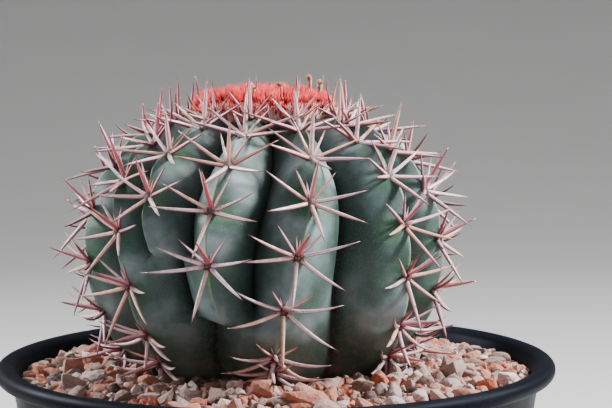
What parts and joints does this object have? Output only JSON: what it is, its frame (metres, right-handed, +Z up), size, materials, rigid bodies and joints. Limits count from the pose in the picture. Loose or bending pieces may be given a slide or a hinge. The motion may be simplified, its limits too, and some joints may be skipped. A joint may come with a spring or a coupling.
{
  "type": "potted cactus",
  "caption": "Round ribbed cactus with long spines and a red bristle cap, growing in a round tapered plastic pot topped with grit.",
  "frame": {"origin": "centre of the pot's underside", "axes": "+Z up along the pot's axis, -Y towards the side that faces the viewer, +X to the viewer's right"},
  "size_m": [0.236, 0.236, 0.2818],
  "materials": {
    "pot": "black plastic with a soft sheen",
    "potting_mix": "moist crumbly potting mix",
    "grit": "crushed salmon, grey and white stone",
    "stem": "waxy blue-green skin with pale pink spines",
    "cap": "coral red bristles in white wool",
    "husk": "dry papery tan",
    "fruit": "smooth fleshy pink"
  },
  "bodies": {
    "root": {"pot": "pot", "potting_mix": "potting_mix", "top_grit": "grit", "cactus_stem_with_spines": "stem", "bristle_cap": "cap", "dried_flower_1": "husk", "dried_flower_2": "husk", "dried_flower_3": "husk", "dried_flower_4": "husk", "fruit": "fruit"}
  },
  "joints": []
}
